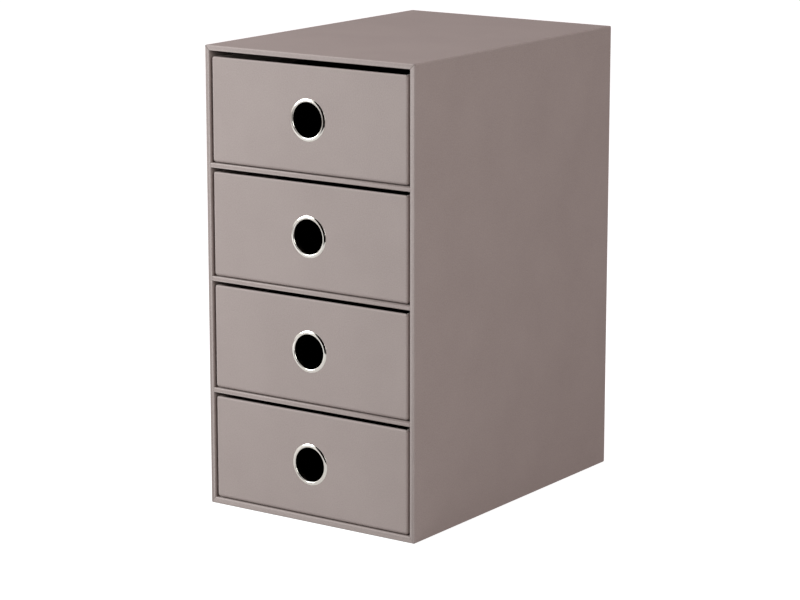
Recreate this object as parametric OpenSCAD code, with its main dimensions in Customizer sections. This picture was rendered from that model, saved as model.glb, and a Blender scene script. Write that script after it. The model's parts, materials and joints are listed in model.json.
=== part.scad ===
// Desktop mini drawers: a chest of paper-covered greyboard drawers with a
// domed metal finger ring in each front.
//
// Millimetres. +Z is up, the drawers open towards -Y, and +X is to the right.
// The origin is at the centre of the footprint, rings included, on the surface
// that the chest stands on.

/* [Case] */
// Overall width of the case
case_w = 150; // [110:1:240]
// Depth of the case, from its front edges to its back
case_d = 215; // [140:1:320]
// Overall height of the case
case_h = 280; // [220:1:420]
// Greyboard of the top, sides and back
wall_board_t = 2.6; // [1.5:0.1:4]
// Greyboard of the bottom
base_board_t = 3.2; // [1.5:0.1:5]
// Greyboard of the shelves
shelf_board_t = 2.2; // [1.2:0.1:4]
// Extra height of the top compartment over the others
top_headroom = 1; // [0:0.1:6]

/* [Paper] */
// Thickness of the covering and lining paper
paper_t = 0.3; // [0.15:0.05:0.5]
// Outer radius of the paper where it is folded round a board
fold_r = 0.8; // [0.6:0.1:1.5]
// Width of the case's cover that is turned in behind its front edges
case_turn_in = 18; // [8:1:40]
// Width of a drawer's cover that is turned in below its rim
drawer_turn_in = 12; // [5:1:18]
// Height of the glued flaps that hang from the ends of each shelf
shelf_flap_h = 12; // [5:1:25]
// Margin of the cover left showing round the sheets on the underside and back
sheet_margin = 4; // [2:0.5:12]

/* [Drawers] */
// Number of drawers, one above another
drawer_count = 4; // [1:1:5]
// Greyboard of the drawer walls
drawer_board_t = 2; // [1.2:0.1:3]
// Greyboard of the drawer floors
floor_board_t = 1.8; // [1.2:0.1:3]
// Outer radius of the folds between a drawer's floor and its walls
drawer_fold_r = 2.1; // [0.8:0.1:2.3]
// Outer radius of the folds up a drawer's four corners
corner_fold_r = 1.4; // [0.8:0.1:2.3]
// Gap at each side of a drawer
side_gap = 1.7; // [0.8:0.1:3]
// Gap under a drawer
under_gap = 0.5; // [0.1:0.1:1]
// Gap over a drawer
over_gap = 2.5; // [1:0.1:6]
// Gap behind a closed drawer
rear_gap = 0.3; // [0.1:0.1:2]
// How far a closed drawer's front lies behind the case's front edges
front_recess = 0.2; // [0:0.1:0.4]

/* [Finger rings] */
// Radius of the finger hole through the ring
ring_hole_r = 10.4; // [8:0.1:14]
// Width of the ring's domed rim
ring_rim_w = 2.3; // [1.8:0.1:4]
// How far the crest of the rim stands proud of the drawer's front
ring_rise = 0.6; // [0.55:0.05:0.9]
// Thickness of the ring's sheet metal
ring_sheet_t = 0.4; // [0.3:0.05:0.5]
// Width of the curl that is clinched over the washer
clinch_w = 1.6; // [1.4:0.1:2.4]
// Clearance round the ring's tube in the drawer front and in the washer
tube_clearance = 0.2; // [0.1:0.05:0.4]
// Width of the washer behind the drawer front
washer_w = 2.6; // [2:0.1:5]
// Thickness of the washer
washer_t = 0.5; // [0.3:0.1:1]

/* [Hidden] */
$fn = 64;
eps = 1; // how far a cutting shape runs past what it cuts

// Finished thicknesses, with the paper on both faces of the board
wall_t = wall_board_t + 2 * paper_t;
base_t = base_board_t + 2 * paper_t;
shelf_t = shelf_board_t + 2 * paper_t;
drawer_wall_t = drawer_board_t + 2 * paper_t;

// How deep the inner faces of the boards lie under the outside
wall_in = paper_t + wall_board_t;
base_in = paper_t + base_board_t;
drawer_in = paper_t + drawer_board_t;
floor_top = paper_t + floor_board_t;

// A drawer's folds, at most as wide as its board and paper
under_fold_r = min(drawer_fold_r, drawer_in);
upright_fold_r = min(corner_fold_r, drawer_in);

// The finger ring: a rim whose crest is near the hole, and which falls away
// outwards, and a tube through front and washer
rim_crest_r = ring_hole_r + ring_rise;
rim_fall = ring_rim_w - ring_rise;
rim_fall_r = (rim_fall * rim_fall + ring_rise * ring_rise) / (2 * ring_rise);
ring_tube_r = ring_hole_r + ring_sheet_t;
ring_bore_r = ring_tube_r + tube_clearance;

// Depths along Y, from front to back
ring_stand = ring_rise - front_recess;
front_y = -(case_d - ring_stand) / 2;
back_y = front_y + case_d;
back_board_y = back_y - wall_in;
lining_back_y = back_board_y - paper_t;
drawer_y = front_y + front_recess;
drawer_d = lining_back_y - rear_gap - drawer_y;

// Widths along X
inner_w = case_w - 2 * wall_t;
drawer_w = inner_w - 2 * side_gap;

// Heights: equal compartments, apart from the top one's headroom
shelves_h = (drawer_count - 1) * shelf_t;
compartment_h = (case_h - base_t - wall_t - shelves_h - top_headroom) / drawer_count;
drawer_h = compartment_h - under_gap - over_gap;
ring_z = drawer_h / 2;

// Floor of compartment i and underside of shelf i, counted from the top
function compartment_z(i) = base_t + (drawer_count - i) * (compartment_h + shelf_t);
function drawer_z(i) = compartment_z(i) + under_gap;
function shelf_z(i) = compartment_z(i) - shelf_t;

CASE_NODES = [
    "case_top_board",
    "case_bottom_board",
    "case_left_board",
    "case_right_board",
    "case_back_board",
    "case_cover_paper",
    "case_base_paper",
    "case_back_paper",
    "case_lining_paper",
];
SHELF_PIECES = ["board", "paper"];
DRAWER_PIECES = [
    "front_board",
    "back_board",
    "left_board",
    "right_board",
    "floor_board",
    "cover_paper",
    "lining_paper",
    "ring",
    "ring_washer",
];

function shelf_node(i, piece) = str("shelf_", i, "_", piece);
function drawer_node(i, piece) = str("drawer_", i, "_", piece);

// Colours of the paper, board and metal
taupe = "#A99C97";
charcoal = "#2A2725";
greyboard = "#8C867D";
bright_metal = "#D8D8D6";

// ---- Shared shapes ----

// A w by h rectangle, centred on X and standing on the X axis, with round corners
module round_rect(w, h, r) {
    translate([r - w / 2, 0]) square([w - 2 * r, h]);
    translate([-w / 2, r]) square([w, h - 2 * r]);
    for (x = [r - w / 2, w / 2 - r], z = [r, h - r])
        translate([x, z]) circle(r);
}

// A w by h rectangle with folds of radius r, inset on all sides, whose corners stay
// concentric with the folds
module inset_rect(w, h, r, inset) {
    translate([0, inset])
        if (r > inset)
            round_rect(w - 2 * inset, h - 2 * inset, r - inset);
        else
            translate([inset - w / 2, 0]) square([w - 2 * inset, h - 2 * inset]);
}

// Raises a shape drawn in X and Z, and runs it from y0 back to y1
module along_depth(y0, y1) {
    translate([0, y1, 0])
        rotate([90, 0, 0])
            linear_extrude(height = y1 - y0)
                children();
}

// ---- Case ----

// The case's outline, seen from the front, inset into its walls
module case_outline(inset) {
    inset_rect(case_w, case_h, fold_r, inset);
}

// The opening that the walls leave, seen from the front
module case_opening(wall, base) {
    translate([wall - case_w / 2, base])
        square([case_w - 2 * wall, case_h - wall - base]);
}

// The four wall boards together, seen from the front
module wall_board_ring() {
    difference() {
        case_outline(paper_t);
        case_opening(wall_in, base_in);
    }
}

// One wall's share of that ring: the mitres run from the outer to the inner corners
module mitred_board(outer_a, outer_b, inner_b, inner_a) {
    color(greyboard)
        along_depth(front_y + paper_t, back_y - paper_t)
            intersection() {
                wall_board_ring();
                polygon([outer_a, outer_b, inner_b, inner_a]);
            }
}

outer_x = case_w / 2 - paper_t;
outer_top = case_h - paper_t;
inner_x = case_w / 2 - wall_in;
inner_top = case_h - wall_in;

module case_top_board() {
    mitred_board(
        [-outer_x, outer_top], [outer_x, outer_top],
        [inner_x, inner_top], [-inner_x, inner_top]);
}

module case_bottom_board() {
    mitred_board(
        [-outer_x, paper_t], [outer_x, paper_t],
        [inner_x, base_in], [-inner_x, base_in]);
}

module case_left_board() {
    mitred_board(
        [-outer_x, paper_t], [-outer_x, outer_top],
        [-inner_x, inner_top], [-inner_x, base_in]);
}

module case_right_board() {
    mitred_board(
        [outer_x, paper_t], [outer_x, outer_top],
        [inner_x, inner_top], [inner_x, base_in]);
}

// The back board stands inside the four walls, flush with their rear edges
module case_back_board() {
    color(greyboard)
        along_depth(back_board_y, back_y - paper_t)
            case_opening(wall_in, base_in);
}

// The cover goes round the walls, over their front and rear edges, and is
// turned in behind the front edges
module case_cover_paper() {
    color(taupe) {
        difference() {
            along_depth(front_y, back_y) case_outline(0);
            along_depth(front_y + paper_t, back_y - paper_t) case_outline(paper_t);
            along_depth(front_y - eps, front_y + eps) case_opening(wall_t, base_t);
            back_sheet();
            base_sheet();
        }
        along_depth(front_y, front_y + case_turn_in)
            difference() {
                case_opening(wall_in, base_in);
                case_opening(wall_t, base_t);
            }
    }
}

// The sheet on the underside lies level with the cover round it
module base_sheet() {
    translate([sheet_margin - case_w / 2, front_y + sheet_margin, 0])
        cube([case_w - 2 * sheet_margin, case_d - 2 * sheet_margin, paper_t]);
}

module case_base_paper() {
    color(taupe) base_sheet();
}

// The sheet on the back lies level with the cover round it
module back_sheet() {
    along_depth(back_y - paper_t, back_y)
        case_opening(sheet_margin, sheet_margin);
}

module case_back_paper() {
    color(taupe) back_sheet();
}

// The lining covers the walls from the turn-in backwards, and the back
module case_lining_paper() {
    color(charcoal)
        difference() {
            along_depth(front_y + case_turn_in, back_board_y)
                case_opening(wall_in, base_in);
            along_depth(front_y + case_turn_in - eps, lining_back_y)
                case_opening(wall_t, base_t);
        }
}

// ---- Shelves ----

// A shelf board reaches from wall to wall and back to the lining
module shelf_board(i) {
    color(greyboard)
        translate([-inner_w / 2, front_y + paper_t, shelf_z(i) + paper_t])
            cube([inner_w, lining_back_y - front_y - paper_t, shelf_board_t]);
}

// Its paper covers the top, front edge and underside, and hangs as a flap
// down the walls, where it is glued
module shelf_paper(i) {
    flap_y = front_y + case_turn_in;
    color(taupe) {
        difference() {
            translate([-inner_w / 2, front_y, shelf_z(i)])
                cube([inner_w, lining_back_y - front_y, shelf_t]);
            translate([-inner_w / 2 - eps, front_y + paper_t, shelf_z(i) + paper_t])
                cube([inner_w + 2 * eps, case_d, shelf_board_t]);
        }
        for (x = [-inner_w / 2, inner_w / 2 - paper_t])
            translate([x, flap_y, shelf_z(i) - shelf_flap_h])
                cube([paper_t, lining_back_y - flap_y, shelf_flap_h + paper_t]);
    }
}

// ---- Drawers ----

// Puts a drawer's piece in compartment i. A drawer is drawn with its front
// face at Y = 0 and its underside at Z = 0
module in_drawer(i) {
    translate([0, drawer_y, drawer_z(i)]) children();
}

// A block of the drawer's plan, inset on all sides, from z0 up to z1
module drawer_block(inset, z0, z1) {
    translate([0, 0, z0])
        linear_extrude(height = z1 - z0)
            inset_rect(drawer_w, drawer_d, upright_fold_r, inset);
}

// A drawer's section across its width or depth, inset, with its folds below.
// It is drawn taller than the drawer, which cuts it off
module folded_section(w, inset) {
    translate([0, inset])
        round_rect(w - 2 * inset, 2 * drawer_h, under_fold_r - inset);
}

// The block that a drawer's walls and floor fill, inset on all sides
module folded_block(inset) {
    intersection() {
        drawer_block(inset, inset, drawer_h - inset);
        along_depth(0, drawer_d) folded_section(drawer_w, inset);
        translate([-drawer_w / 2, drawer_d / 2, 0])
            rotate([90, 0, 90])
                linear_extrude(height = drawer_w)
                    folded_section(drawer_d, inset);
    }
}

// Puts a finger ring's piece in the front, its axis along the drawer: what is
// drawn above Z = 0 stands proud of the front, and the rest goes through it
module in_front() {
    translate([0, 0, ring_z]) rotate([90, 0, 0]) children();
}

// The hole that the ring's tube goes through
module ring_bore() {
    in_front()
        translate([0, 0, -drawer_wall_t - eps])
            cylinder(r = ring_bore_r, h = drawer_wall_t + 2 * eps);
}

// The front and back boards run the drawer's full width
module cross_board(y) {
    color(greyboard)
        intersection() {
            folded_block(paper_t);
            translate([-drawer_w / 2, y, 0])
                cube([drawer_w, drawer_board_t, drawer_h]);
        }
}

module drawer_front_board(i) {
    in_drawer(i)
        difference() {
            cross_board(paper_t);
            ring_bore();
        }
}

module drawer_back_board(i) {
    in_drawer(i) cross_board(drawer_d - drawer_in);
}

// The side boards stand between the front and the back
module side_board(x) {
    color(greyboard)
        intersection() {
            folded_block(paper_t);
            translate([x, drawer_in, 0])
                cube([drawer_board_t, drawer_d - 2 * drawer_in, drawer_h]);
        }
}

module drawer_left_board(i) {
    in_drawer(i) side_board(paper_t - drawer_w / 2);
}

module drawer_right_board(i) {
    in_drawer(i) side_board(drawer_w / 2 - drawer_in);
}

// The floor lies between the four walls
module drawer_floor_board(i) {
    color(greyboard)
        in_drawer(i) drawer_block(drawer_in, paper_t, floor_top);
}

// The cover goes under the drawer, up its walls, over the rim and down inside
module drawer_cover_paper(i) {
    color(taupe)
        in_drawer(i)
            difference() {
                union() {
                    difference() {
                        folded_block(0);
                        folded_block(paper_t);
                    }
                    drawer_block(drawer_in, drawer_h - drawer_turn_in, drawer_h);
                }
                drawer_block(drawer_wall_t, paper_t, drawer_h + eps);
                ring_bore();
            }
}

// The lining covers the floor, and the walls up to the turned-in cover
module drawer_lining_paper(i) {
    color(charcoal)
        in_drawer(i)
            difference() {
                drawer_block(drawer_in, floor_top, drawer_h - drawer_turn_in);
                drawer_block(drawer_wall_t, floor_top + paper_t, drawer_h);
                ring_bore();
            }
}

// The rim's section, filled in, inset from its outer face: a quarter round from
// the hole up to the crest, and then a flatter fall to the drawer's front
module rim_section(inset) {
    intersection() {
        translate([ring_hole_r, 0]) square(ring_rise);
        translate([rim_crest_r, 0]) circle(ring_rise - inset);
    }
    intersection() {
        translate([rim_crest_r, 0]) square([rim_fall, ring_rise]);
        translate([rim_crest_r, ring_rise - rim_fall_r]) circle(rim_fall_r - inset);
    }
}

// The upper half of a sheet-metal bead of width w, as a section at radius x
module half_bead(x, w) {
    translate([x, 0])
        intersection() {
            difference() {
                circle(w / 2);
                circle(w / 2 - ring_sheet_t);
            }
            translate([-w / 2, 0]) square([w, w / 2]);
        }
}

// The ring: a domed rim on the front, a tube through it, and a curl clinched
// over the washer behind
module drawer_ring(i) {
    tube_end = drawer_wall_t + washer_t;
    color(bright_metal)
        in_drawer(i)
            in_front()
                rotate_extrude() {
                    difference() {
                        rim_section(0);
                        rim_section(ring_sheet_t);
                    }
                    translate([ring_hole_r, -tube_end])
                        square([ring_sheet_t, tube_end]);
                    translate([0, -tube_end])
                        mirror([0, 1])
                            half_bead(ring_hole_r + clinch_w / 2, clinch_w);
                }
}

// The washer lies between the drawer's lining and the ring's curl
module drawer_ring_washer(i) {
    color(bright_metal)
        in_drawer(i)
            in_front()
                rotate_extrude()
                    translate([ring_bore_r, -drawer_wall_t - washer_t])
                        square([washer_w, washer_t]);
}

// ---- The whole ----

case_top_board();
case_bottom_board();
case_left_board();
case_right_board();
case_back_board();
case_cover_paper();
case_base_paper();
case_back_paper();
case_lining_paper();

for (i = [1:1:drawer_count - 1]) {
    shelf_board(i);
    shelf_paper(i);
}

for (i = [1:1:drawer_count]) {
    drawer_front_board(i);
    drawer_back_board(i);
    drawer_left_board(i);
    drawer_right_board(i);
    drawer_floor_board(i);
    drawer_cover_paper(i);
    drawer_lining_paper(i);
    drawer_ring(i);
    drawer_ring_washer(i);
}
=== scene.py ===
"""Desktop mini drawers, dressed: taupe paper folded round greyboard, dark linings,
and a domed finger ring of plated steel in each drawer front."""

import json
import math

import bmesh
import bpy
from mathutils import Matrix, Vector

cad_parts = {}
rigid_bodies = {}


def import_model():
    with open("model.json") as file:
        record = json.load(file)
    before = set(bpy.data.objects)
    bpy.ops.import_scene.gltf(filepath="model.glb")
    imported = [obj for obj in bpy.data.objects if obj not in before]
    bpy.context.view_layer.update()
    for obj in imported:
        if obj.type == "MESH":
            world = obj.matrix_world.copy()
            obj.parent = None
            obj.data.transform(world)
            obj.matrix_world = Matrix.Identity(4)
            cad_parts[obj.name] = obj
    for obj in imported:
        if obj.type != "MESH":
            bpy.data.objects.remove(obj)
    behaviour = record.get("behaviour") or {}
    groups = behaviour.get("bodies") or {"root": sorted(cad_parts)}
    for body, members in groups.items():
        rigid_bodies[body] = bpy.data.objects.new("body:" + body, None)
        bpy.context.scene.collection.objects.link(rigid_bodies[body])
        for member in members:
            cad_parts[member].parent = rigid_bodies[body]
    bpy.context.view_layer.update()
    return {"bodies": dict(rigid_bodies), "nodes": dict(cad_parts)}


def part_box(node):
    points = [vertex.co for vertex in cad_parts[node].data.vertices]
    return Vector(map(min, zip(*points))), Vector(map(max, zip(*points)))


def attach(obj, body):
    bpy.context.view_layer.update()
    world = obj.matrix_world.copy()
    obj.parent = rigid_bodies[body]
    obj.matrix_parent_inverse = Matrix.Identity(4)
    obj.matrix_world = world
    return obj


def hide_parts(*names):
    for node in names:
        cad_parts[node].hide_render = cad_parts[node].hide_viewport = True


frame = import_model()

MM = 0.001

# ---- Sizes of the paper work, lengths in metres ----

FOLD_R = 0.8 * MM         # outer radius of the paper where it folds round a board
TURN_FOLD_R = 0.5 * MM    # outer radius of the fold where it turns in behind a front edge
UNDER_FOLD_R = 2.1 * MM   # outer radius of the folds between a drawer's floor and walls
CORNER_FOLD_R = 1.4 * MM  # outer radius of the folds up a drawer's corners
CREASE_R = 0.5 * MM       # radius of the lining where it goes into a corner
GLUED_EDGE_R = 0.1 * MM   # radius of the edges of the sheets glued on the outside
SHARP_R = 0.05 * MM       # least radius of a corner, so that every outline has as many points
FOLD_STEPS = 6            # flat steps in a quarter round
FOLD_SUPPORT = 0.48 * MM  # how far from a fold the row of points beside it lies
WEAR_AND_HIGHLIGHT_REACH = 0.9 * MM     # how far from a fold's line the paper is rubbed lighter, which also stands as a painted highlight
MITRE_W = 0.37 * MM       # half the width of the line where mitred paper meets
MITRE_D = 0.22 * MM       # depth of that line
MITRE_PAST = 1 * MM       # how far it runs on past the inside corner
MITRE_SHADE = 0.53        # how dark the painted shade in that line is
TUCK_R = 1.3 * MM         # how far from an outer corner the tucked paper gets painted shade
TUCK_CORE_R = 1.15 * MM   # how far from it the painted shade is darkest
TUCK_SHADE = 0.3          # how dark the painted shade is there, where the tuck is pressed well shut
OPEN_TUCK_SHADE = 1.0     # and at the case's top left corner, where it gapes a little and is painted darker
CAP_INSET = 12 * MM       # how far in from its edges a drawer's floor becomes one flat face
CUT_OVER = 1 * MM         # how far a cut runs past the paper's outer face
CUT_UNDER = 0.1 * MM      # and how far past its inner face
FLAT = 0.9999             # a face is shaded flat where a part of its normal is over this

# ---- Sizes of the finger rings, lengths in metres ----

RING_HOLE_R = 10.4 * MM   # the hole that a fingertip goes through
RING_RISE = 0.6 * MM      # height of the rim's crest, and radius of its inner edge
RING_SHEET_T = 0.4 * MM   # thickness of the sheet that the ring is drawn from
CURL_W = 1.6 * MM         # width of the curl that holds the washer
BORE_R = 11.0 * MM        # the hole in board and paper, round the ring's tube
WASHER_BEVEL = 0.3        # share of the washer's thickness that its edges lose
TURN_STEPS = 128          # steps round a ring
SECTION_STEPS = 10        # steps in each arc of the ring's section
MERGE = 0.001 * MM        # points of a turned mesh that are this near become one

DRAWERS = sorted(name for name in frame["bodies"] if name.startswith("drawer_"))
SHELVES = sorted({name.rsplit("_", 1)[0] for name in frame["nodes"]
                  if name.startswith("shelf_")})


# ---- Places, read from the frame ----

case_low, case_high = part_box("case_cover_paper")
base_low, base_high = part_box("case_base_paper")
lining_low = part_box("case_lining_paper")[0]

paper_t = base_high.z - base_low.z
wall_t = case_high.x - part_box("shelf_1_board")[1].x
base_t = lining_low.z + paper_t
sheet_margin = base_low.x - case_low.x
front_y, back_y = case_low.y, case_high.y


# ---- Materials ----


def linear(hex_colour):
    """An sRGB hex colour as linear red, green, blue and alpha."""
    channels = [int(hex_colour[i:i + 2], 16) / 255 for i in (1, 3, 5)]
    curve = [c / 12.92 if c <= 0.04045 else ((c + 0.055) / 1.055) ** 2.4 for c in channels]
    return (*curve, 1.0)


def add(tree, kind, inputs=None, **settings):
    """Adds a node with its settings, and sets or links each of the inputs given."""
    made = tree.nodes.new(kind)
    for name, value in settings.items():
        setattr(made, name, value)
    for socket, value in (inputs or {}).items():
        if isinstance(value, bpy.types.NodeSocket):
            tree.links.new(value, made.inputs[socket])
        else:
            made.inputs[socket].default_value = value
    return made


def new_material(name):
    """An empty material, its node tree, and the object's own coordinates in it."""
    material = bpy.data.materials.new(name)
    material.use_nodes = True
    tree = material.node_tree
    tree.nodes.clear()
    return material, tree, add(tree, "ShaderNodeTexCoord").outputs["Object"]


def per_mm(size_mm):
    """The scale of a texture whose features are size_mm across."""
    return 1 / (size_mm * MM)


def cover_paper(name, colour, cloud_colour, rubbed_and_highlight_colour, painted_seam_shade_colour, roughness):
    """Dyed, uncoated cover paper, calendered and glued to board: matt, faintly clouded
    from the pulp, with a fine tooth, rubbed lighter along its folds, where that lighter colour
    is also a painted highlight, and with painted shade in the mitred seams and tucked corners."""
    material, tree, place = new_material(name)
    cloud = add(tree, "ShaderNodeTexNoise",
                {"Vector": place, "Scale": per_mm(38), "Detail": 3, "Roughness": 0.55})
    # Fibres are 0.02 mm thick, which a render can't show, so they are drawn as 0.7 mm flecks
    flecks = add(tree, "ShaderNodeTexNoise",
                 {"Vector": place, "Scale": per_mm(0.7), "Detail": 2, "Roughness": 0.6})
    pulp = add(tree, "ShaderNodeMath",
               {0: cloud.outputs["Fac"], 1: 0.4, 2: flecks.outputs["Fac"]},
               operation="MULTIPLY_ADD")
    pulp = add(tree, "ShaderNodeMapRange",
               {"Value": pulp.outputs[0], "From Min": 0.45, "From Max": 0.95})
    dyed = add(tree, "ShaderNodeMix",
               {"Factor": pulp.outputs[0], "A": linear(colour), "B": linear(cloud_colour)},
               data_type="RGBA")
    # The folds are rubbed lighter, and the same lighter colour is a painted highlight along them
    fold = add(tree, "ShaderNodeAttribute", attribute_name="fold")
    rub_and_highlight = add(tree, "ShaderNodeMath",
              {0: fold.outputs["Fac"], 1: flecks.outputs["Fac"]}, operation="MULTIPLY")
    worn_and_highlit = add(tree, "ShaderNodeMix",
               {"Factor": rub_and_highlight.outputs[0], "A": dyed.outputs["Result"],
                "B": linear(rubbed_and_highlight_colour)},
               data_type="RGBA")
    # Painted shade in the mitres' pressed lines and round the tucked corners
    painted_seam_shade = add(tree, "ShaderNodeAttribute", attribute_name="painted_seam_shade")
    surface = add(tree, "ShaderNodeMix",
                  {"Factor": painted_seam_shade.outputs["Fac"], "A": worn_and_highlit.outputs["Result"],
                   "B": linear(painted_seam_shade_colour)},
                  data_type="RGBA")
    sheen_spread = add(tree, "ShaderNodeMapRange",
                       {"Value": cloud.outputs["Fac"], "To Min": roughness - 0.05,
                        "To Max": roughness + 0.05})
    waves = add(tree, "ShaderNodeBump",
                {"Height": cloud.outputs["Fac"], "Strength": 0.35, "Distance": 0.12 * MM})
    tooth = add(tree, "ShaderNodeBump",
                {"Height": flecks.outputs["Fac"], "Strength": 0.3, "Distance": 0.04 * MM,
                 "Normal": waves.outputs["Normal"]})
    shader = add(tree, "ShaderNodeBsdfPrincipled",
                 {"Base Color": surface.outputs["Result"],
                  "Roughness": sheen_spread.outputs[0], "IOR": 1.45,
                  "Specular IOR Level": 0.2, "Normal": tooth.outputs["Normal"]})
    add(tree, "ShaderNodeOutputMaterial", {"Surface": shader.outputs["BSDF"]})
    return material


def greyboard():
    """Solid grey board, pressed from waste paper: dull, felted, with darker and lighter
    scraps in it."""
    material, tree, place = new_material("greyboard_pressed")
    scraps = add(tree, "ShaderNodeTexVoronoi", {"Vector": place, "Scale": per_mm(1.4)})
    felt = add(tree, "ShaderNodeTexNoise",
               {"Vector": place, "Scale": per_mm(4), "Detail": 5, "Roughness": 0.7})
    shade = add(tree, "ShaderNodeMix",
                {"Factor": felt.outputs["Fac"], "A": linear("#7D776E"),
                 "B": linear("#9B958B")},
                data_type="RGBA")
    dark = add(tree, "ShaderNodeMapRange",
               {"Value": scraps.outputs["Distance"], "From Min": 0.05, "From Max": 0.25,
                "To Min": 0.35, "To Max": 0})
    fleck = add(tree, "ShaderNodeMix",
                {"Factor": dark.outputs[0], "A": shade.outputs["Result"],
                 "B": linear("#4E4A45")},
                data_type="RGBA")
    pressed = add(tree, "ShaderNodeBump",
                  {"Height": felt.outputs["Fac"], "Strength": 0.5, "Distance": 0.1 * MM})
    shader = add(tree, "ShaderNodeBsdfPrincipled",
                 {"Base Color": fleck.outputs["Result"], "Roughness": 0.93, "IOR": 1.45,
                  "Normal": pressed.outputs["Normal"]})
    add(tree, "ShaderNodeOutputMaterial", {"Surface": shader.outputs["BSDF"]})
    return material


def plated_steel(name, colour, roughness, haze, tumble_mm):
    """Drawn steel sheet with a bright nickel plate: mirror-like, with a breath of haze
    and the fine dents of barrel plating."""
    material, tree, place = new_material(name)
    smear = add(tree, "ShaderNodeTexNoise",
                {"Vector": place, "Scale": per_mm(5), "Detail": 3})
    dents = add(tree, "ShaderNodeTexNoise",
                {"Vector": place, "Scale": per_mm(tumble_mm), "Detail": 2})
    gloss = add(tree, "ShaderNodeMapRange",
                {"Value": smear.outputs["Fac"], "From Min": 0.3, "From Max": 0.7,
                 "To Min": roughness, "To Max": roughness + haze})
    tint = add(tree, "ShaderNodeMix",
               {"Factor": smear.outputs["Fac"], "A": linear(colour), "B": linear("#EFEBE4")},
               data_type="RGBA")
    bump = add(tree, "ShaderNodeBump",
               {"Height": dents.outputs["Fac"], "Strength": 0.15, "Distance": 0.005 * MM})
    shader = add(tree, "ShaderNodeBsdfPrincipled",
                 {"Base Color": tint.outputs["Result"], "Metallic": 1.0,
                  "Roughness": gloss.outputs[0], "Normal": bump.outputs["Normal"]})
    add(tree, "ShaderNodeOutputMaterial", {"Surface": shader.outputs["BSDF"]})
    return material


# The last colours of each paper: its folds rubbed lighter, which is also a painted highlight, and
# the painted shade of its seams and tucked corners
TAUPE_PAPER = cover_paper("taupe_paper_uncoated", "#A49691", "#B2A49F", "#C4B9B4", "#443C39",
                          0.78)
LINING_PAPER = cover_paper("charcoal_paper_uncoated", "#252322", "#2D2B2A", "#45413F",
                           "#151414", 0.85)
GREYBOARD = greyboard()
RING_STEEL = plated_steel("ring_steel_nickel_plated", "#E2DCD2", 0.07, 0.06, 1.2)
WASHER_STEEL = plated_steel("washer_steel_zinc_plated", "#C9CBCB", 0.3, 0.12, 0.8)


# ---- Folded sheets ----


def quarter_round(centre, start, end):
    """Points from start to end of the quarter circle about centre."""
    turns = [math.pi / 2 * i / FOLD_STEPS for i in range(FOLD_STEPS + 1)]
    return [centre + (start - centre) * math.cos(a) + (end - centre) * math.sin(a)
            for a in turns]


def folded_line(corners, radii):
    """A line with its right-angled corners rounded, and a point beside each round."""
    points = [corners[0]]
    for before, corner, after, radius in zip(corners, corners[1:], corners[2:], radii):
        back = (before - corner).normalized()
        onward = (after - corner).normalized()
        start, end = corner + back * radius, corner + onward * radius
        points.append(start + back * FOLD_SUPPORT)
        points += quarter_round(corner + (back + onward) * radius, start, end)
        points.append(end + onward * FOLD_SUPPORT)
    points.append(corners[-1])
    return points


def moved_right(corners, distance):
    """The same line, moved a distance to the right of the way it runs."""
    ways = [(b - a).normalized() for a, b in zip(corners, corners[1:])]
    rights = [Vector((way.y, -way.x)) * distance for way in ways]
    moved = [corners[0] + rights[0]]
    for corner, one, other in zip(corners[1:], rights, rights[1:]):
        moved.append(corner + one + other)
    moved.append(corners[-1] + rights[-1])
    return moved


def sheet_section(corners, radii):
    """The section of a folded sheet: its outer face, and then its inner face back again.
    The corners follow the outer face, and the sheet's thickness lies to their right."""
    corners = [Vector(corner) for corner in corners]
    inner_radii = [max(radius - paper_t, SHARP_R) for radius in radii]
    outer = folded_line(corners, radii)
    inner = folded_line(moved_right(corners, paper_t), inner_radii)
    return outer + inner[::-1]


def round_outline(low, high, radius):
    """Points round a rectangle with rounded corners, as many for any radius. They start
    in the middle of the far side, so that no edge runs across the near one."""
    radius = max(radius, SHARP_R)
    start = Vector(((low.x + high.x) / 2, high.y))
    corners = [Vector((low.x, high.y)), low, Vector((high.x, low.y)), high]
    return folded_line([start, *corners, start], [radius] * 4)[:-1]


def skin(rings, closed):
    """A bmesh through a row of rings. Where the row isn't closed, its first and last
    ring are filled."""
    made = bmesh.new()
    rows = [[made.verts.new(point) for point in ring] for ring in rings]
    pairs = list(zip(rows, rows[1:]))
    if closed:
        pairs.append((rows[-1], rows[0]))
    else:
        made.faces.new(rows[0])
        made.faces.new(rows[-1])
    for row, after in pairs:
        for i in range(len(row)):
            j = (i + 1) % len(row)
            made.faces.new((row[i], row[j], after[j], after[i]))
    return made


def to_object(name, made):
    """Turns a bmesh into an object of that name at the origin, with its faces outwards."""
    made.normal_update()
    bmesh.ops.recalc_face_normals(made, faces=made.faces)
    mesh = bpy.data.meshes.new(name)
    made.to_mesh(mesh)
    made.free()
    piece = bpy.data.objects.new(name, mesh)
    bpy.context.scene.collection.objects.link(piece)
    return piece


def add_box(made, low, high):
    """Adds a box to a bmesh."""
    for vert in bmesh.ops.create_cube(made, size=1)["verts"]:
        vert.co = Vector(high[i] if vert.co[i] > 0 else low[i] for i in range(3))


def box_cutter(low, high):
    """A plain box, to cut with."""
    made = bmesh.new()
    add_box(made, low, high)
    return to_object("cutter", made)


def bore_cutter(centre, radius, y0, y1):
    """A cylinder along Y, to cut with."""
    made = bmesh.new()
    bmesh.ops.create_cone(made, cap_ends=True, segments=TURN_STEPS, radius1=radius,
                          radius2=radius, depth=y1 - y0)
    for vert in made.verts:
        x, up, along = vert.co
        vert.co = Vector((centre.x + x, (y0 + y1) / 2 + along, centre.z + up))
    return to_object("cutter", made)


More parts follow.
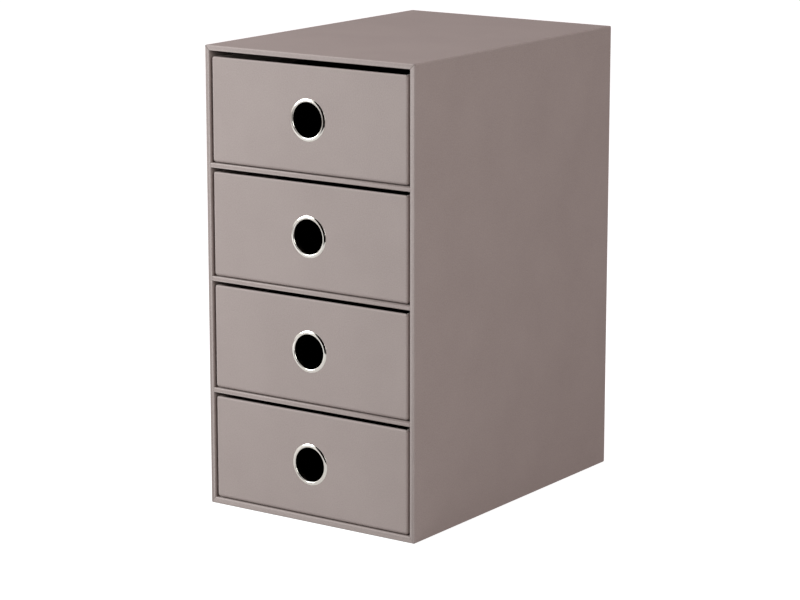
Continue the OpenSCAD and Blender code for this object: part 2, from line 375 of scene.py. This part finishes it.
def at_mitre(point, corner, inside, axis, way):
    """How near a point is to the line where a rim's paper is mitred, from its outer to
    its inside corner: 1 on the line and 0 beside it. The rim faces along the axis, and
    its paper goes back that way."""
    along = (inside - corner).normalized()
    offset = point - corner
    behind = offset[axis] * way
    offset[axis] = 0
    run = offset.dot(along)
    aside = (offset - along * run).length
    past_inside = run - (inside - corner).length
    if behind > FOLD_R or past_inside > MITRE_PAST:
        return 0
    return max(0, 1 - aside / MITRE_W) * (1 - behind / FOLD_R)


def press_mitres(piece, mitres):
    """Presses in the mitres' lines."""
    for vert in piece.data.vertices:
        for corner, inside, axis, way, _ in mitres:
            near = at_mitre(vert.co, corner, inside, axis, way)
            vert.co[axis] += way * MITRE_D * near


def painted_seam_shade_at(point, mitres):
    """How much painted shade the seams get at a point: along each mitre, and round its
    outer corner, where the paper is tucked in."""
    shades = [0]
    for corner, inside, axis, way, tuck_shade in mitres:
        shades.append(at_mitre(point, corner, inside, axis, way) * MITRE_SHADE)
        tucked = (TUCK_R - (point - corner).length) / (TUCK_R - TUCK_CORE_R)
        shades.append(min(max(tucked, 0), 1) * tuck_shade)
    return max(shades)


def cut(piece, cutters):
    """Cuts each cutter out of the piece, for good, and removes it."""
    for cutter in cutters:
        step = piece.modifiers.new("cut", "BOOLEAN")
        step.object = cutter
        step.solver = "EXACT"
    depsgraph = bpy.context.evaluated_depsgraph_get()
    mesh = bpy.data.meshes.new_from_object(piece.evaluated_get(depsgraph))
    piece.modifiers.clear()
    piece.data = mesh
    for cutter in cutters:
        bpy.data.objects.remove(cutter)


def folds_between(planes, others):
    """The folds where each of some planes, as (axis, place), meets each of the others."""
    return [(plane, other) for plane in planes for other in others]


def fold_wear_and_highlight(point, folds):
    """How worn the paper is at a point, and how much painted highlight it gets there: 1 on a
    fold's line, and 0 out of its reach.
    """
    away = min(max(abs(point[axis] - place) for axis, place in fold) for fold in folds)
    return max(0, 1 - away / WEAR_AND_HIGHLIGHT_REACH)


def finish_paper(piece, body, nodes, material, folds, mitres=()):
    """Gives a sheet its material, shading, worn folds with their painted highlight and seams with
    their painted shade, and puts it on its body.
    """
    mesh = piece.data
    for face in mesh.polygons:
        face.use_smooth = max(abs(c) for c in face.normal) < FLAT
    # Rubbed paper along the folds, with a painted highlight on them
    fold = mesh.attributes.new("fold", "FLOAT", "POINT")
    for vert, value in zip(mesh.vertices, fold.data):
        value.value = fold_wear_and_highlight(vert.co, folds)
    painted_seam_shade = mesh.attributes.new("painted_seam_shade", "FLOAT", "POINT")
    # Painted shade along the mitres and round the tucked corners
    for vert, value in zip(mesh.vertices, painted_seam_shade.data):
        value.value = painted_seam_shade_at(vert.co, mitres)
    mesh.materials.append(material)
    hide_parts(*nodes)
    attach(piece, body)


# ---- The case's papers ----


def case_cover():
    """The sheet round the case: from behind the front edges, over them, back along the
    walls and over the rear edges. It goes in further over the thicker bottom wall."""
    middle_y = (front_y + back_y) / 2
    section = sheet_section([(wall_t, lining_low.y), (wall_t, front_y), (0, front_y),
                             (0, back_y), (sheet_margin, back_y)],
                            [TURN_FOLD_R, FOLD_R, FOLD_R])
    rings = []
    for inset, y in section:
        thicker = base_t - wall_t if y < middle_y and inset > wall_t / 2 else 0
        low = Vector((case_low.x + inset, case_low.z + inset + thicker))
        high = Vector((case_high.x - inset, case_high.z - inset))
        rings.append([Vector((x, y, z)) for x, z in round_outline(low, high, FOLD_R - inset)])
    piece = to_object("case_cover_sheet", skin(rings, closed=True))
    mitres = []
    for x, way in ((case_low.x, 1), (case_high.x, -1)):
        for z, inner_z in ((case_low.z, base_t), (case_high.z, case_high.z - wall_t)):
            inside = Vector((x + way * wall_t, front_y, inner_z))
            # Each tucked corner gets painted shade, darkest at the top left one, where the tuck
            # gapes
            gapes = x == case_low.x and z == case_high.z
            shade = OPEN_TUCK_SHADE if gapes else TUCK_SHADE
            mitres.append((Vector((x, front_y, z)), inside, 1, 1, shade))
    press_mitres(piece, mitres)
    cut(piece, [box_cutter(base_low - Vector((0, 0, CUT_OVER)),
                           base_high + Vector((0, 0, CUT_UNDER)))])
    sides, levels = [(0, case_low.x), (0, case_high.x)], [(2, case_low.z), (2, case_high.z)]
    inner = [(0, case_low.x + wall_t), (0, case_high.x - wall_t), (2, base_t),
             (2, case_high.z - wall_t)]
    folds = folds_between(sides, levels) + folds_between([(1, front_y)], inner)
    folds += folds_between([(1, front_y), (1, back_y)], sides + levels)
    finish_paper(piece, "case", ["case_cover_paper"], TAUPE_PAPER, folds, mitres)


def glued_sheet(name, node, axis):
    """A flat sheet glued on the underside or back, with its outer edges rounded."""
    low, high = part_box(node)
    flat = [i for i in range(3) if i != axis]
    face, hidden = (low[axis], high[axis]) if axis == 2 else (high[axis], low[axis])
    inward = (hidden - face) / abs(hidden - face)
    section = [(2 * WEAR_AND_HIGHLIGHT_REACH, face), (GLUED_EDGE_R, face),
               (0, face + inward * GLUED_EDGE_R), (0, hidden)]
    rings = []
    for inset, level in section:
        outline = round_outline(Vector((low[flat[0]] + inset, low[flat[1]] + inset)),
                                Vector((high[flat[0]] - inset, high[flat[1]] - inset)),
                                FOLD_R)
        ring = []
        for a, b in outline:
            point = Vector((0, 0, 0))
            point[flat[0]], point[flat[1]], point[axis] = a, b, level
            ring.append(point)
        rings.append(ring)
    piece = to_object(name, skin(rings, closed=False))
    rims = [(i, end[i]) for i in flat for end in (low, high)]
    finish_paper(piece, "case", [node], TAUPE_PAPER, folds_between([(axis, face)], rims))


def shelf_cover(shelf):
    """A shelf's paper: over the top, front edge and underside, with a flap glued down
    the wall at each end."""
    node = shelf + "_paper"
    low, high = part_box(node)
    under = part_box(shelf + "_board")[0].z - paper_t
    section = sheet_section([(high.y, under), (low.y, under), (low.y, high.z),
                             (high.y, high.z)], [TURN_FOLD_R] * 2)
    rings = [[Vector((x, y, z)) for y, z in section] for x in (low.x, high.x)]
    made = skin(rings, closed=False)
    for x in (low.x, high.x - paper_t):
        add_box(made, Vector((x, lining_low.y, low.z)), Vector((x + paper_t, high.y, under)))
    piece = to_object(shelf + "_cover_sheet", made)
    folds = folds_between([(1, low.y)], [(2, under), (2, high.z)])
    finish_paper(piece, "case", [node], TAUPE_PAPER, folds)


# ---- The drawers' papers ----


def drawer_skin(name, section, low, high, corner_r):
    """A sheet round a drawer's corners, from a section whose points give the inset from
    the drawer's sides and the height."""
    rings = []
    for inset, z in section:
        outline = round_outline(Vector((low.x + inset, low.y + inset)),
                                Vector((high.x - inset, high.y - inset)), corner_r - inset)
        rings.append([Vector((x, y, z)) for x, y in outline])
    return to_object(name, skin(rings, closed=False))


def cut_finger_hole(piece, drawer, front):
    """Cuts the hole for the ring's tube through a sheet whose front is at that place."""
    low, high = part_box(drawer + "_ring")
    cut(piece, [bore_cutter((low + high) / 2, BORE_R, front - CUT_OVER, front + CUT_OVER)])


def drawer_cover(drawer):
    """A drawer's cover: under it, up its walls, over the rim and down inside."""
    node = drawer + "_cover_paper"
    low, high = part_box(node)
    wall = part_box(drawer + "_front_board")[1].y - low.y + paper_t
    turn_in_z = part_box(drawer + "_lining_paper")[1].z
    section = sheet_section([(CAP_INSET, low.z), (0, low.z), (0, high.z), (wall, high.z),
                             (wall, turn_in_z)], [UNDER_FOLD_R, FOLD_R, FOLD_R])
    piece = drawer_skin(drawer + "_cover_sheet", section, low, high, CORNER_FOLD_R)
    mitres = []
    # Painted shade round the rim's tucked corners
    for x, way_x in ((low.x, 1), (high.x, -1)):
        for y, way_y in ((low.y, 1), (high.y, -1)):
            inside = Vector((x + way_x * wall, y + way_y * wall, high.z))
            mitres.append((Vector((x, y, high.z)), inside, 2, -1, TUCK_SHADE))
    press_mitres(piece, mitres)
    cut_finger_hole(piece, drawer, low.y)
    sides, ends = [(0, low.x), (0, high.x)], [(1, low.y), (1, high.y)]
    inner = [(0, low.x + wall), (0, high.x - wall), (1, low.y + wall), (1, high.y - wall)]
    folds = folds_between(sides, ends) + folds_between([(2, high.z)], inner)
    folds += folds_between([(2, low.z), (2, high.z)], sides + ends)
    finish_paper(piece, drawer, [node], TAUPE_PAPER, folds, mitres)


def drawer_lining(drawer):
    """A drawer's dark lining: over the floor and up the walls to the turned-in cover."""
    node = drawer + "_lining_paper"
    low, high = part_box(node)
    section = sheet_section([(CAP_INSET, low.z), (0, low.z), (0, high.z)], [CREASE_R])
    piece = drawer_skin(drawer + "_lining_sheet", section, low, high, CREASE_R)
    cut_finger_hole(piece, drawer, low.y)
    sides = [(0, low.x + paper_t), (0, high.x - paper_t)]
    ends = [(1, low.y + paper_t), (1, high.y - paper_t)]
    folds = folds_between(sides, ends) + folds_between([(2, low.z + paper_t)], sides + ends)
    finish_paper(piece, drawer, [node], LINING_PAPER, folds)


# ---- The finger rings ----


def turning_tree():
    """Geometry nodes that turn a section round the Y axis: the section is drawn in X,
    its distance from the middle radius, and Y, its height along the axis."""
    tree = bpy.data.node_groups.new("turned_part", "GeometryNodeTree")
    for name, kind in (("Section", "NodeSocketObject"), ("Middle radius", "NodeSocketFloat"),
                       ("Steps round", "NodeSocketInt"), ("Place", "NodeSocketVector"),
                       ("Finish", "NodeSocketMaterial")):
        tree.interface.new_socket(name, in_out="INPUT", socket_type=kind)
    tree.interface.new_socket("Geometry", in_out="OUTPUT", socket_type="NodeSocketGeometry")
    given = tree.nodes.new("NodeGroupInput").outputs
    section = add(tree, "GeometryNodeObjectInfo", {"Object": given["Section"]})
    circle = add(tree, "GeometryNodeCurvePrimitiveCircle",
                 {"Resolution": given["Steps round"], "Radius": given["Middle radius"]})
    turned = add(tree, "GeometryNodeCurveToMesh",
                 {"Curve": circle.outputs["Curve"],
                  "Profile Curve": section.outputs["Geometry"]})
    placed = add(tree, "GeometryNodeTransform",
                 {"Geometry": turned.outputs["Mesh"], "Translation": given["Place"],
                  "Rotation": (-math.pi / 2, 0, 0)})
    real = add(tree, "GeometryNodeRealizeInstances", {"Geometry": placed.outputs["Geometry"]})
    finished = add(tree, "GeometryNodeSetMaterial",
                   {"Geometry": real.outputs["Geometry"], "Material": given["Finish"]})
    add(tree, "NodeGroupOutput", {"Geometry": finished.outputs["Geometry"]})
    return tree


def section_curve(name, points):
    """A closed curve through the points of a section."""
    curve = bpy.data.curves.new(name, "CURVE")
    curve.dimensions = "2D"
    line = curve.splines.new("POLY")
    line.points.add(len(points) - 1)
    for spot, (x, y) in zip(line.points, points):
        spot.co = (x, y, 0, 1)
    line.use_cyclic_u = True
    drawn = bpy.data.objects.new(name, curve)
    bpy.context.scene.collection.objects.link(drawn)
    return drawn


def turned(tree, name, section, middle_r, place, material):
    """Turns a section, and gives the plain mesh as an object."""
    mesh = bpy.data.meshes.new(name)
    maker = bpy.data.objects.new(name + "_maker", mesh)
    bpy.context.scene.collection.objects.link(maker)
    step = maker.modifiers.new("turned_part", "NODES")
    step.node_group = tree
    values = {"Section": section, "Middle radius": middle_r, "Steps round": TURN_STEPS,
              "Place": place, "Finish": material}
    for item in tree.interface.items_tree:
        if item.in_out == "INPUT":
            step[item.identifier] = values[item.name]
    depsgraph = bpy.context.evaluated_depsgraph_get()
    made = bmesh.new()
    made.from_mesh(bpy.data.meshes.new_from_object(maker.evaluated_get(depsgraph)))
    bmesh.ops.remove_doubles(made, verts=made.verts, dist=MERGE)
    bpy.data.objects.remove(maker)
    piece = to_object(name, made)
    piece.data.materials.append(material)
    for face in piece.data.polygons:
        face.use_smooth = True
    return piece


def arc(middle, radius, start, end):
    """Points of an arc about middle, from one angle to another, in degrees."""
    turns = [math.radians(start + (end - start) * i / SECTION_STEPS)
             for i in range(SECTION_STEPS + 1)]
    return [(middle[0] + radius * math.cos(a), middle[1] + radius * math.sin(a))
            for a in turns]


def ring_section(rim_w, wall):
    """The ring's section, X the radius and Y the height over the drawer's front: a rim
    that falls from a crest near the hole, the tube, and the curl behind the washer."""
    crest = (RING_HOLE_R + RING_RISE, 0)
    fall = rim_w - RING_RISE
    fall_r = (fall * fall + RING_RISE * RING_RISE) / (2 * RING_RISE)
    under = (crest[0], RING_RISE - fall_r)
    thin_r = fall_r - RING_SHEET_T
    curl = (RING_HOLE_R + CURL_W / 2, -wall)
    outer_foot = math.degrees(math.asin(-under[1] / fall_r))
    inner_foot = math.degrees(math.asin(-under[1] / thin_r))
    rim_face = arc(under, fall_r, outer_foot, 90)[:-1] + arc(crest, RING_RISE, 90, 180)
    curl_face = arc(curl, CURL_W / 2, 180, 360)
    curl_back = arc(curl, CURL_W / 2 - RING_SHEET_T, 360, 180)
    rim_back = (arc(crest, RING_RISE - RING_SHEET_T, 180, 90)[:-1]
                + arc(under, thin_r, 90, inner_foot))
    return rim_face + curl_face + curl_back + rim_back


def finger_ring(tree, drawer):
    """A drawer's ring and the washer behind it."""
    low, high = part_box(drawer + "_ring")
    washer_low, washer_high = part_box(drawer + "_ring_washer")
    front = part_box(drawer + "_cover_paper")[0].y
    centre = (low + high) / 2
    place = Vector((centre.x, front, centre.z))
    rim_w = (high.x - low.x) / 2 - RING_HOLE_R
    middle_r = RING_HOLE_R + rim_w / 2
    points = [(r - middle_r, h) for r, h in ring_section(rim_w, washer_high.y - front)]
    section = section_curve(drawer + "_ring_section", points)
    ring = turned(tree, drawer + "_finger_ring", section, middle_r, place, RING_STEEL)
    bpy.data.objects.remove(section)
    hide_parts(drawer + "_ring")
    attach(ring, drawer)

    outer_r = (washer_high.x - washer_low.x) / 2
    middle_r = (outer_r + BORE_R) / 2
    half_w = (outer_r - BORE_R) / 2
    near, far = front - washer_low.y, front - washer_high.y
    bevel = (washer_high.y - washer_low.y) * WASHER_BEVEL
    points = [(half_w, near), (half_w, far + bevel), (half_w - bevel, far),
              (bevel - half_w, far), (-half_w, far + bevel), (-half_w, near)]
    section = section_curve(drawer + "_washer_section", points)
    washer = turned(tree, drawer + "_back_washer", section, middle_r, place, WASHER_STEEL)
    bpy.data.objects.remove(section)
    for face in washer.data.polygons:
        face.use_smooth = abs(face.normal.y) < FLAT
    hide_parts(drawer + "_ring_washer")
    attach(washer, drawer)


# ---- Floor, light and camera ----

LENS = 127.1              # millimetres, on a 36 mm sensor
CAMERA_AT = Vector((0.9644, -1.3994, 0.4932))
CAMERA_AZIMUTH = 34.84    # degrees to the right of the case's front
CAMERA_ELEVATION = 12.51  # degrees above the horizon

FILL_LEVEL = 0.418        # light from all round
KEY_AT = Vector((-0.62, -0.7, 0.55))
KEY_POWER = 8.86
SIDE_AT = Vector((0.98, -0.5, 0.56))
SIDE_POWER = 3.38
LAMP_SIZE = 0.5
LAMP_AIM_Z = 0.14         # height that the lamps are aimed at, half the case's

FLOOR_SIZE = 16.0
FLOOR_GLOW = 0.84         # lifts the floor to white where no shadow falls
MIRRORED_GLOW = 0.24      # the same, as the rings mirror it

# The black flag: how far out and how high its lower and upper edges are, and how far
# round it reaches, in degrees to the right of the case's front
FLAG_EDGES = ((0.5, 0.001), (1.0, 1.28))
FLAG_FROM, FLAG_TO = -20, 45


def aim(thing, target):
    """Turns a lamp or camera towards a point."""
    thing.rotation_euler = (target - thing.location).to_track_quat("-Z", "Y").to_euler()


def make_floor():
    """A plain floor. The eye sees it white, with the object's soft shadow on it."""
    made = bmesh.new()
    bmesh.ops.create_grid(made, x_segments=1, y_segments=1, size=FLOOR_SIZE / 2)
    floor = to_object("floor", made)
    material, tree, _ = new_material("floor_pale")
    rays = add(tree, "ShaderNodeLightPath")
    mirrored = add(tree, "ShaderNodeMath", {0: rays.outputs["Is Glossy Ray"], 1: MIRRORED_GLOW},
                   operation="MULTIPLY")
    strength = add(tree, "ShaderNodeMath",
                   {0: rays.outputs["Is Camera Ray"], 1: FLOOR_GLOW, 2: mirrored.outputs[0]},
                   operation="MULTIPLY_ADD")
    glow = add(tree, "ShaderNodeEmission",
               {"Color": linear("#FFFFFF"), "Strength": strength.outputs[0]})
    diffuse = add(tree, "ShaderNodeBsdfDiffuse", {"Color": linear("#C4C4C4")})
    lit = add(tree, "ShaderNodeAddShader", {0: diffuse.outputs[0], 1: glow.outputs[0]})
    add(tree, "ShaderNodeOutputMaterial", {"Surface": lit.outputs[0]})
    floor.data.materials.append(material)


def make_flag():
    """A black flag at the right, out of sight, which the bright rings mirror."""
    turns = [math.radians(angle) for angle in (FLAG_FROM, (FLAG_FROM + FLAG_TO) / 2, FLAG_TO)]
    made = bmesh.new()
    rows = []
    for reach, z in FLAG_EDGES:
        rows.append([made.verts.new((reach * math.sin(a), front_y - reach * math.cos(a), z))
                     for a in turns])
    for i in range(2):
        made.faces.new((rows[0][i], rows[0][i + 1], rows[1][i + 1], rows[1][i]))
    flag = to_object("flag", made)
    material, tree, _ = new_material("flag_black_cloth")
    cloth = add(tree, "ShaderNodeBsdfDiffuse", {"Color": linear("#0A0909")})
    add(tree, "ShaderNodeOutputMaterial", {"Surface": cloth.outputs[0]})
    flag.data.materials.append(material)
    flag.visible_camera = False
    flag.visible_shadow = False


def soft_box(name, place, target, power, colour):
    """A square lamp, out of the camera's sight."""
    lamp = bpy.data.lights.new(name, "AREA")
    lamp.shape = "SQUARE"
    lamp.size = LAMP_SIZE
    lamp.energy = power
    lamp.color = linear(colour)[:3]
    box = bpy.data.objects.new(name, lamp)
    box.location = place
    aim(box, target)
    box.visible_camera = False
    bpy.context.scene.collection.objects.link(box)


def make_light():
    """Soft light from all round, a soft box at the front left and a weak one at the
    right. The eye sees plain white behind the object, and so do the rings."""
    world = bpy.data.worlds.new("studio")
    bpy.context.scene.world = world
    world.use_nodes = True
    tree = world.node_tree
    tree.nodes.clear()
    fill = add(tree, "ShaderNodeBackground", {"Color": linear("#FFEFF1"), "Strength": FILL_LEVEL})
    white = add(tree, "ShaderNodeBackground", {"Color": linear("#FFFFFF"), "Strength": 1.0})
    rays = add(tree, "ShaderNodeLightPath")
    direct = add(tree, "ShaderNodeMath", {0: rays.outputs["Is Camera Ray"],
                                          1: rays.outputs["Is Glossy Ray"]},
                 operation="MAXIMUM")
    seen = add(tree, "ShaderNodeMixShader",
               {"Fac": direct.outputs[0], 1: fill.outputs[0], 2: white.outputs[0]})
    add(tree, "ShaderNodeOutputWorld", {"Surface": seen.outputs[0]})
    soft_box("key", KEY_AT, Vector((0, front_y, LAMP_AIM_Z)), KEY_POWER, "#F4FCFF")
    soft_box("side", SIDE_AT, Vector((case_high.x, front_y / 2, LAMP_AIM_Z)), SIDE_POWER,
             "#FBFFFE")


def make_camera():
    """The camera, where the photograph was taken from."""
    lens = bpy.data.cameras.new("camera")
    lens.lens = LENS
    camera = bpy.data.objects.new("camera", lens)
    camera.location = CAMERA_AT
    camera.rotation_euler = (math.radians(90 - CAMERA_ELEVATION), 0,
                             math.radians(CAMERA_AZIMUTH))
    bpy.context.scene.collection.objects.link(camera)
    bpy.context.scene.camera = camera
    bpy.context.scene.view_settings.view_transform = "Standard"


# ---- The whole ----

for name, part in frame["nodes"].items():
    part.data.materials.clear()
    part.data.materials.append(LINING_PAPER if "lining" in name else GREYBOARD)

case_cover()
glued_sheet("case_base_sheet", "case_base_paper", axis=2)
glued_sheet("case_back_sheet", "case_back_paper", axis=1)
for shelf in SHELVES:
    shelf_cover(shelf)

turning = turning_tree()
for drawer in DRAWERS:
    drawer_cover(drawer)
    drawer_lining(drawer)
    finger_ring(turning, drawer)

make_floor()
make_flag()
make_light()
make_camera()
